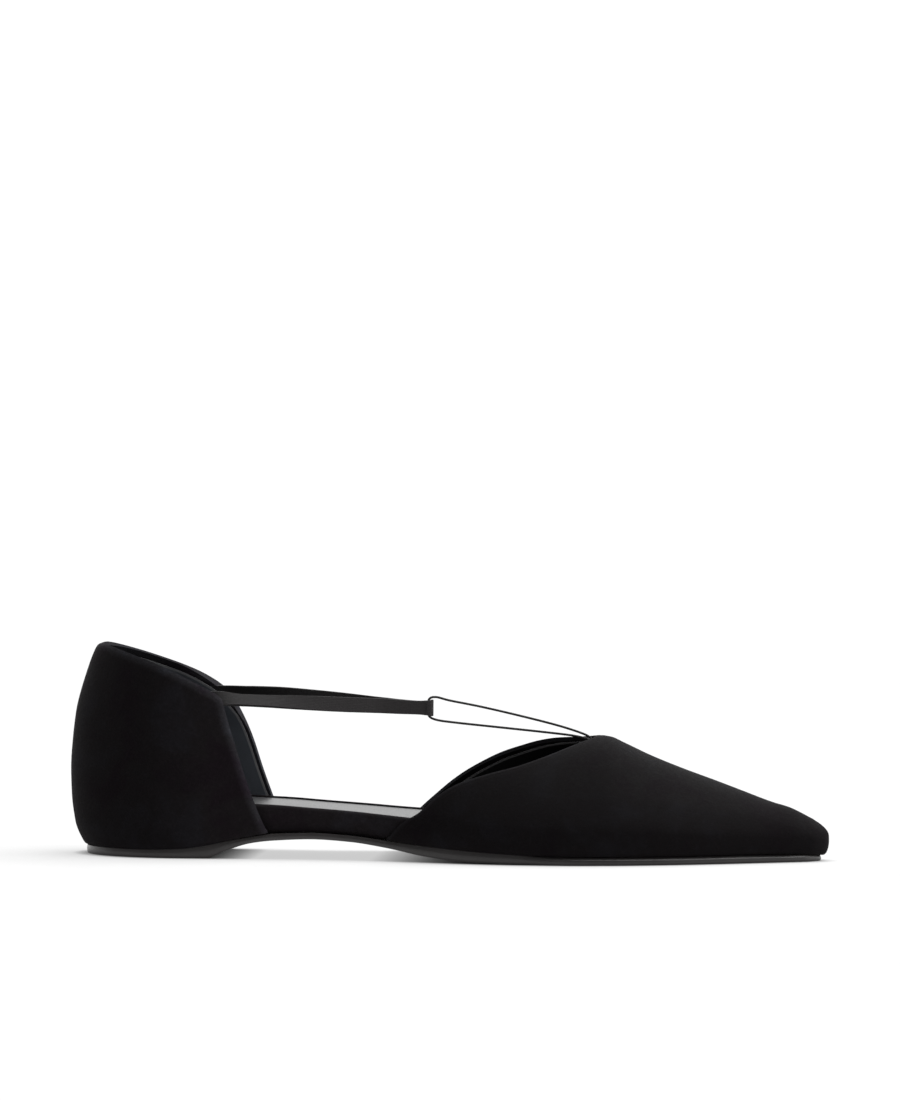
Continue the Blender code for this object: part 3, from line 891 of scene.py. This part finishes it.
# the UV's second value, the distance from the open edge, sets the painted highlight along the folded edge
counterUvs = np.stack((counterSmooth[..., 2], edgeGap), axis=2)
counterPiece = gridPiece("counter_suede_shell", counterOuter, counterSuede,
                         uvs=counterUvs, weights=lapShare)
addWall(counterPiece, counter["lapWall"], upper["suede"] / counter["lapWall"])
roundEdges(counterPiece, 0.55, 3)
place(counterPiece, "counter_suede", "counter")

liningSmooth = counterGrid(arounds, shares(counter["liningUp"]), counter["foldRim"], counter["foldFront"])
lapExtra = counter["lapWall"] - upper["suede"]
liningDepth = upper["suede"] + upper["apart"] + lapExtra * overLap(liningSmooth)
liningPoints = liningSmooth - normalsOf(liningSmooth) * liningDepth[..., None]
liningGap = nearestOnPath(liningPoints, dense(openEdge(liningPoints)))
# the lining's edge distance sets its painted highlight along the cut edge
liningUvs = np.stack((liningPoints[..., 2], liningGap), axis=2)
counterLining = gridPiece("counter_lining", liningPoints, counterLeather, uvs=liningUvs)
addWall(counterLining, upper["lining"])
roundEdges(counterLining, 0.1, 2)
place(counterLining, "sock_leather")
print("counter made")


# Vamp

vamp = {
    "tuckShare": 0.2,
    "crownThroat": 0.60,
    "crownToe": 0.35,
    "crownFall": (0.72, 0.97),
    "ridgeSlope": -0.5,
    # distance behind the tip, height above the toe's widest line
    "nose": (
        (0.00, 0.0),
        (0.06, 1.2),
        (0.25, 2.2),
        (0.80, 3.2),
        (1.90, 4.4),
        (3.40, 5.6),
        (5.40, 6.9),
        (7.70, 8.7),
        (11.0, 13.0),
    ),
    # along as a share of the length, height as a share of the throat height
    "ridge": (
        (0.42, 1.180),
        (0.54, 1.100),
        (0.62, 1.035),
        (0.675, 0.995),
        (0.695, 0.992),
        (0.712, 0.980),
        (0.73, 0.932),
        (0.763, 0.837),
        (0.802, 0.744),
        (0.845, 0.648),
        (0.886, 0.555),
        (0.927, 0.464),
        (0.947, 0.428),
        (0.979, 0.333),
    ),
    # along and height of the open edge
    "lateralEdge": (
        (110.0, 3.0),
        (114.3, 8.5),
        (118.6, 13.3),
        (124.5, 17.2),
        (131.0, 23.2),
        (138.0, 27.4),
        (147.5, 30.6),
        (158.2, 33.4),
        (165.4, 35.9),
        (172.0, 38.4),
        (178.6, 40.9),
        (183.2, 42.7),
        (192.0, 52.0),
    ),
    "medialEdge": (
        (109.5, 3.0),
        (113.8, 8.5),
        (119.0, 14.6),
        (125.8, 20.9),
        (131.1, 25.4),
        (137.4, 29.7),
        (148.0, 35.3),
        (155.4, 38.0),
        (162.6, 40.2),
        (170.0, 41.5),
        (178.0, 42.1),
        (183.2, 42.7),
        (192.0, 52.0),
    ),
    "fold": 2.4,
    "softFrom": (4.0, 14.0),
    # where the open edge and the lining's edge are looked for
    "edgeSearch": (109.6, 190.0),
    "liningSearch": 14.0,
    "sideSteps": 62,
    "alongSteps": 120,
    # distances in front of the edge, from which the grid runs on to the nose
    "edgeSteps": (0.0, 0.9, 1.3, 1.7, 2.1, 2.5, 2.9, 3.4, 4.0, 4.8, 5.8),
    "liningSteps": (0.0, 0.3, 1.0, 2.0, 3.2, 4.6),
    "creases": (
        {"side": lateral, "width": 2.6, "lift": 0.16,
         "path": ((196.0, 22.6), (216.0, 19.4), (238.0, 16.6), (248.0, 13.6), (256.0, 9.8))},
        {"side": lateral, "width": 3.2, "lift": 0.10,
         "path": ((150.0, 24.5), (172.0, 33.0), (181.0, 38.5))},
    ),
}
ridgeTable = reader(vamp["ridge"], 1)
noseTable = reader(vamp["nose"], 1)
lateralEdge = reader(vamp["lateralEdge"], 1)
medialEdge = reader(vamp["medialEdge"], 1)
ridgeEnd = vamp["ridge"][-1][0] * last["length"]
bend = 1 - vamp["tuckShare"]


def ridgeHeight(x):
    height = last["throatHeight"] * ridgeTable(x / last["length"])
    return height + vamp["ridgeSlope"] * np.maximum(0.0, x - ridgeEnd)


def crownShare(x):
    return vamp["crownThroat"] + (vamp["crownToe"] - vamp["crownThroat"]) * easeAlong(x, vamp["crownFall"])


def tuckTurn(around):
    # Angle of the turn in under the shoe, 0 above it
    return np.maximum(0.0, (around - bend) / vamp["tuckShare"]) * math.pi / 2


def sectionHeight(x, around):
    # around 0 is the ridge, 1 the feather line
    base = soleTop(x) + last["seam"]
    widest = base + featherHeight(x)
    rise = np.cos(np.minimum(around / bend, 1.0) * math.pi / 2)
    flat = crownShare(x)
    above = widest + (ridgeHeight(x) - widest) * ((1 - flat) * rise + flat * rise * rise)
    return np.where(around <= bend, above, base + featherHeight(x) * (1 - np.sin(tuckTurn(around))))


def sectionWidth(x, side, around):
    fall = last["featherTuckToe"] - last["featherTuck"]
    depth = last["featherTuck"] + fall * easeAlong(x, last["tuckFall"])
    above = halfWidth(x, side) * np.sin(np.minimum(around / bend, 1.0) * math.pi / 2)
    below = halfWidth(x, side) - depth * (1 - np.cos(tuckTurn(around))) * slant(x, side)
    return np.where(around <= bend, above, below)


def noseProfile(x):
    widest = soleTop(last["length"]) + last["gap"] + last["featherHeightToe"]
    return widest + noseTable(last["length"] - x)


def noseEnd(around):
    def under(x):
        return noseProfile(x) - sectionHeight(x, around)

    below = last["length"] - last["featherTuckToe"] * (1 - np.cos(tuckTurn(around)))
    above = bisect(under, ridgeEnd - 5 + 0 * around, last["length"] + 0 * around)
    return np.where(around >= bend, below, above)


def edgeStart(side, around):
    def over(x):
        return sectionHeight(x, around) - np.where(side < 0, lateralEdge(x), medialEdge(x))

    low, high = vamp["edgeSearch"]
    return bisect(over, low + 0 * around, high + 0 * around)


def vampPoint(side, around, x):
    left = np.clip((noseEnd(around) - x) / last["toeRound"], 0, 1)
    turn = np.sqrt(1 - (1 - left) ** 2)
    y = ridgeLine(x) + side * sectionWidth(x, side, around) * turn
    return np.stack((x, y, sectionHeight(x, around)), axis=-1)


def vampGrid(arounds, starts, steps):
    # arounds run from -1, the lateral feather line, over the ridge to 1, the medial feather line
    side = np.where(arounds < 0, lateral, medial)[:, None]
    around = np.abs(arounds)[:, None]
    end = noseEnd(around)
    x = starts[:, None] + steps[None]
    rest = 1 - (1 - np.linspace(0, 1, vamp["alongSteps"] + 1)[1:]) ** 1.6
    x = np.hstack((x, x[:, -1:] + (end - x[:, -1:]) * rest[None]))
    return vampPoint(side, around, x)


sideShares = np.linspace(-1, 1, 2 * vamp["sideSteps"] + 1)
vampSides = np.where(sideShares < 0, lateral, medial)
vampStarts = edgeStart(vampSides, np.abs(sideShares))
vampSmooth = vampGrid(sideShares, vampStarts, np.array(vamp["edgeSteps"]))
vampEdgePath = dense(vampSmooth[:, 0])
vampGap = nearestOnPath(vampSmooth, vampEdgePath)
vampLift = soften(vampSmooth, vamp["creases"]) * ease(vampSmooth[..., 2:3], *vamp["softFrom"])
vampLift[..., 0] -= edgeRoll(vampGap)
vampOuter = vampSmooth + normalsOf(vampSmooth) * vampLift
# the vamp's edge distance starts partway along its painted edge highlight, which is fainter and narrower
# there
vampUvs = np.stack((vampSmooth[..., 0], vampGap + suedeLook["highlightReach"] * 0.45), axis=2)
vampPiece = gridPiece("vamp_suede_shell", vampOuter, vampSuede, uvs=vampUvs)
addWall(vampPiece, upper["suede"])
roundEdges(vampPiece, 0.55, 3)
place(vampPiece, "vamp_suede", "vamp")


def liningStart(side, around, starts):
    def short(x):
        return vamp["fold"] - nearestOnPath(vampPoint(side, around, x), vampEdgePath)

    return bisect(short, starts, starts + vamp["liningSearch"])


liningStarts = liningStart(vampSides, np.abs(sideShares), vampStarts)
vampInner = vampGrid(sideShares, liningStarts, np.array(vamp["liningSteps"]))
vampInner = vampInner - normalsOf(vampInner) * (upper["suede"] + upper["apart"])
innerGap = nearestOnPath(vampInner, dense(vampInner[:, 0]))
# the lining's edge distance sets its painted highlight along the cut edge
innerUvs = np.stack((vampInner[..., 0], innerGap), axis=2)
vampLining = gridPiece("vamp_lining", vampInner, vampShadedLining, uvs=innerUvs)
addWall(vampLining, upper["lining"])
roundEdges(vampLining, 0.1, 2)
place(vampLining, "sock_leather")
print("vamp made")


# Elastic strap

strap = {
    "thickness": 1.1,
    "lapDepth": 2.2,
    "laps": (41.0, 45.0, 49.0, 52.5),
    "join": 109.0,
    "fold": 125.0,
    "splitEnd": 122.5,
    "halfSplit": 0.62,
    "softPasses": 12,
    # along, lower edge on the lateral and the medial side, width,
    # lean in degrees on the lateral and the medial side
    "line": (
        (41.0, 52.4, 52.4, 5.2, 6.0, 6.0),
        (53.0, 52.4, 52.5, 5.2, 8.0, 8.0),
        (59.0, 52.6, 52.7, 5.1, 40.0, 14.0),
        (62.0, 52.5, 52.8, 5.1, 46.0, 16.0),
        (69.0, 52.1, 52.7, 5.1, 44.0, 12.0),
        (82.0, 51.0, 52.0, 5.1, 25.0, 4.0),
        (95.0, 50.1, 51.0, 5.2, 10.0, 2.0),
        (109.0, 49.5, 49.8, 5.2, 2.0, 0.0),
        (115.0, 49.3, 49.4, 5.0, 0.0, 0.0),
        (120.5, 49.2, 49.2, 4.8, 0.0, 0.0),
        (124.0, 49.0, 49.0, 5.0, 0.0, 0.0),
        (126.8, 48.5, 48.5, 6.1, 0.0, 0.0),
    ),
    "cordDiameter": 0.8,
}


def strapHalf(side):
    # Along and distance from the heel's centre line, from the lap to the fold
    lower = strap["line"][0][1]
    points = []
    for x in strap["laps"]:
        points.append((x, float(halfWidth(np.array(x), side) * heelFullness(lower)) - strap["lapDepth"]))
    points += [(strap["join"], strap["halfSplit"]), (strap["splitEnd"], strap["halfSplit"])]
    route = dense(np.array(points), 0.8)
    for _ in range(strap["softPasses"]):
        route[1:-1] = (route[:-2] + 2 * route[1:-1] + route[2:]) / 4
    tunnel = (strap["cordDiameter"] + strap["thickness"]) / 2 + last["gap"] / 2
    turns = np.radians(np.linspace(0, 90, 10))
    ring = np.stack((strap["fold"] + tunnel * np.sin(turns), tunnel * np.cos(turns)), axis=1)
    return np.vstack((route, ring))


def strapGrid(rows):
    near = strapHalf(lateral)
    far = strapHalf(medial)
    x = np.concatenate((near[:, 0], far[-2::-1, 0]))
    y = np.concatenate((-near[:, 1], far[-2::-1, 1]))
    side = np.concatenate((np.full(len(near), lateral), np.full(len(far) - 1, medial)))
    leans = np.radians(sideReader(strap["line"], 4, 5)(x, side))[None]
    lower = sideReader(strap["line"])(x, side)[None]
    up = np.linspace(0, 1, rows + 1)[:, None] * reader(strap["line"], 3)(x)[None]
    along = np.concatenate(([0], np.cumsum(np.hypot(np.diff(x), np.diff(y)))))
    points = np.stack((x[None] + 0 * up, y[None] - side[None] * up * np.sin(leans),
                       lower + up * np.cos(leans)), axis=2)
    uvs = np.stack((along[None] + 0 * up, up), axis=2)
    return points, uvs


strapPoints, strapUvs = strapGrid(10)
strapPiece = gridPiece("strap_elastic", strapPoints, elasticCloth, uvs=strapUvs)
band = strapPiece.modifiers.new("wall", "SOLIDIFY")
band.thickness = strap["thickness"] * 0.001
band.offset = 0.0
roundEdges(strapPiece, 0.25, 2)
place(strapPiece, "elastic", "elastic_strap")
print("strap made")


# Cord loop

cordLoop = {
    "diameter": 0.8,
    "sides": 12,
    # along, across from the heel's centre line, height
    "route": (
        (188.0, 2.4, 39.5),
        (184.4, 2.4, 39.9),
        (181.9, 2.4, 40.7),
        (179.8, 2.4, 42.5),
        (170.8, 2.2, 45.5),
        (156.8, 1.5, 49.0),
        (142.9, 0.9, 52.1),
        (132.4, 0.4, 54.1),
        (127.4, 0.1, 55.3),
        (125.0, 0.0, 54.5),
        (125.0, 0.0, 51.5),
        (125.0, 0.0, 48.8),
        (127.6, 0.1, 47.4),
        (134.0, 0.5, 46.5),
        (149.9, 1.8, 44.9),
        (163.8, 3.0, 43.5),
        (174.5, 3.9, 42.3),
        (179.6, 4.2, 41.2),
        (183.6, 4.2, 39.8),
        (188.0, 4.2, 39.5),
    ),
}


def smoothRoute(points, step):
    padded = np.vstack((points[:1], points, points[-1:]))
    smooth = []
    for index in range(len(points) - 1):
        before, start, end, after = padded[index:index + 4]
        count = max(3, int(np.linalg.norm(end - start) / step))
        t = np.linspace(0, 1, count, endpoint=False)[:, None]
        smooth.append(0.5 * (2 * start + (end - before) * t
                             + (2 * before - 5 * start + 4 * end - after) * t ** 2
                             + (3 * start - before - 3 * end + after) * t ** 3))
    return np.vstack(smooth + [points[-1:]])


def tubeGrid(path, diameter, sides):
    # Rings round a path, carried along without twisting, with the ends drawn in to points
    tangents = np.gradient(path, axis=0)
    tangents = tangents / np.linalg.norm(tangents, axis=1, keepdims=True)
    normal = np.cross(tangents[0], (0.0, 1.0, 0.0))
    rows = []
    for point, tangent in zip(path, tangents):
        normal = normal - tangent * np.dot(normal, tangent)
        normal = normal / np.linalg.norm(normal)
        rows.append((point, normal, np.cross(tangent, normal)))
    turns = np.linspace(0, 2 * math.pi, sides + 1)
    rings = [point + diameter / 2 * (np.cos(turns)[:, None] * first + np.sin(turns)[:, None] * second)
             for point, first, second in rows]
    rings = [np.repeat(path[:1], sides + 1, axis=0)] + rings + [np.repeat(path[-1:], sides + 1, axis=0)]
    along = np.concatenate(([0], np.cumsum(np.linalg.norm(np.diff(path, axis=0), axis=1))))
    along = np.concatenate((along[:1], along, along[-1:]))
    grid = np.stack(rings, axis=1)
    uvs = np.stack(np.broadcast_arrays(along[None], (turns / 2)[:, None]), axis=2)
    return grid, uvs


cordPath = smoothRoute(np.array(cordLoop["route"]), 0.7)
cordPoints, cordUvs = tubeGrid(cordPath, cordLoop["diameter"], cordLoop["sides"])
cordPiece = gridPiece("cord_round", cordPoints, cordCloth, uvs=cordUvs, closed=True, sharp=60)
place(cordPiece, "cord", "cord_loop")
print("cord made")


# Bar of stitches that closes the strap's fold

stitches = {
    "along": 124.2,
    "across": 1.56,
    "sink": 0.08,
    "bow": 0.10,
    "lowest": 49.7,
    "count": 4,
    "length": 0.85,
    "pitch": 1.05,
    "diameter": 0.24,
    "sides": 8,
}


def stitchPath(side, index):
    rise = np.linspace(0, 1, 7)
    across = stitches["across"] - stitches["sink"] + stitches["bow"] * np.sin(rise * math.pi)
    height = stitches["lowest"] + index * stitches["pitch"] + stitches["length"] * rise
    return np.stack((np.full(7, stitches["along"]), side * across, height), axis=1)


foldStitches = []
for side in (lateral, medial):
    for index in range(stitches["count"]):
        threadPoints, threadUvs = tubeGrid(stitchPath(side, index), stitches["diameter"], stitches["sides"])
        thread = gridPiece("stitch", threadPoints, threadBlack, uvs=threadUvs, closed=True, sharp=60)
        foldStitches.append(thread)
place(joinPieces("fold_stitches", foldStitches), "elastic")
print("stitches made")


# Floor, light and camera

studio = {
    "sunStrength": 3.6,
    "sunSpread": 70.0,
    "sunFrom": (0.42, 0.22, 1.0),
    "front": 0.20,
    "back": 1.5,
    "toeSide": 0.35,
    "floorSize": 30.0,
    "floorGlow": 0.59,
    "contactShadow": 0.0055,
    "backdrop": 1.2,
}

floorShape = bmesh.new()
bmesh.ops.create_grid(floorShape, x_segments=1, y_segments=1, size=studio["floorSize"])
floorWhite, floorNodes, floorLinks, floorShader, floorCoords = newMaterial("floor white")
floorTone = addNoise(floorNodes, floorLinks, floorCoords.outputs["Object"], 40.0)
floorShades = [(0.3, (0.235, 0.235, 0.235)), (0.7, (0.245, 0.245, 0.245))]
floorColour = addRamp(floorNodes, floorLinks, floorTone, floorShades)
floorLinks.new(floorColour, floorShader.inputs["Base Color"])
setInputs(floorShader, {"Roughness": 1.0, "Specular IOR Level": 0.0, "Emission Color": (1, 1, 1, 1)})
# The floor glows, and its glow is dimmed near the shoe by ambient occlusion: a painted contact shadow
floorGlow = floorNodes.new("ShaderNodeAmbientOcclusion")
floorGlow.samples = 8
floorGlow.inputs["Distance"].default_value = studio["contactShadow"]
floorSoft = floorNodes.new("ShaderNodeMath")
floorSoft.operation = "MULTIPLY"
floorSoft.inputs[1].default_value = studio["floorGlow"]
floorLinks.new(floorGlow.outputs["AO"], floorSoft.inputs[0])
floorLinks.new(floorSoft.outputs[0], floorShader.inputs["Emission Strength"])
toObject("floor", toMesh("floor", floorShape, floorWhite))


def makeWorld():
    # Light from all round, stronger from the back and the toe, in front of an even white backdrop
    world = bpy.data.worlds.new("studio")
    world.use_nodes = True
    nodes = world.node_tree.nodes
    links = world.node_tree.links
    soft = nodes["Background"]
    coords = nodes.new("ShaderNodeTexCoord")
    split = nodes.new("ShaderNodeSeparateXYZ")
    links.new(coords.outputs["Generated"], split.inputs["Vector"])
    lean = nodes.new("ShaderNodeMath")
    lean.operation = "MULTIPLY_ADD"
    lean.inputs[1].default_value = studio["toeSide"]
    links.new(split.outputs["X"], lean.inputs[0])
    links.new(split.outputs["Y"], lean.inputs[2])
    strength = addRange(nodes, links, lean.outputs[0], studio["front"], studio["back"], -0.6, 0.6)
    links.new(strength, soft.inputs["Strength"])
    plain = nodes.new("ShaderNodeBackground")
    plain.inputs["Strength"].default_value = studio["backdrop"]
    path = nodes.new("ShaderNodeLightPath")
    mix = nodes.new("ShaderNodeMixShader")
    links.new(path.outputs["Is Camera Ray"], mix.inputs["Fac"])
    links.new(soft.outputs["Background"], mix.inputs[1])
    links.new(plain.outputs["Background"], mix.inputs[2])
    links.new(mix.outputs["Shader"], nodes["World Output"].inputs["Surface"])
    for background in (soft, plain):
        setInputs(background, {"Color": (1, 1, 1, 1)})
    bpy.context.scene.world = world


makeWorld()
sunData = bpy.data.lights.new("overhead", "SUN")
sunData.energy = studio["sunStrength"]
sunData.angle = math.radians(studio["sunSpread"])
sun = toObject("overhead", sunData)
sun.rotation_mode = "QUATERNION"
sun.rotation_quaternion = Vector(studio["sunFrom"]).to_track_quat("Z", "Y")

view = {
    "distance": 2000.0,
    "azimuth": 4.86,
    "height": 140.04,
    "pitch": 0.964,
    "roll": 0.376,
    "pixelFocus": 5765.5,
    "pixelHeight": 1100.0,
    "sensor": 36.0,
}


def makeCamera():
    azimuth = math.radians(view["azimuth"])
    pitch = math.radians(view["pitch"])
    roll = math.radians(view["roll"])
    forward = Vector((-math.sin(azimuth), math.cos(azimuth), 0))
    right = Vector((math.cos(azimuth), math.sin(azimuth), 0))
    upward = Vector((0, 0, 1))
    look = forward * math.cos(pitch) - upward * math.sin(pitch)
    tilted = forward * math.sin(pitch) + upward * math.cos(pitch)
    across = right * math.cos(roll) + tilted * math.sin(roll)
    top = -right * math.sin(roll) + tilted * math.cos(roll)
    back = view["distance"]
    spot = Vector((back * math.sin(azimuth), -back * math.cos(azimuth), view["height"])) * 0.001
    spot.y -= shiftAcross * 0.001
    data = bpy.data.cameras.new("camera")
    data.sensor_fit = "VERTICAL"
    data.sensor_width = view["sensor"]
    data.sensor_height = view["sensor"]
    data.lens = view["pixelFocus"] / view["pixelHeight"] * view["sensor"]
    data.clip_end = 100.0
    camera = toObject("camera", data)
    camera.matrix_world = Matrix((
        (across.x, top.x, -look.x, spot.x),
        (across.y, top.y, -look.y, spot.y),
        (across.z, top.z, -look.z, spot.z),
        (0, 0, 0, 1),
    ))
    bpy.context.scene.camera = camera


makeCamera()
bpy.context.scene.view_settings.view_transform = "Standard"
print("studio made")
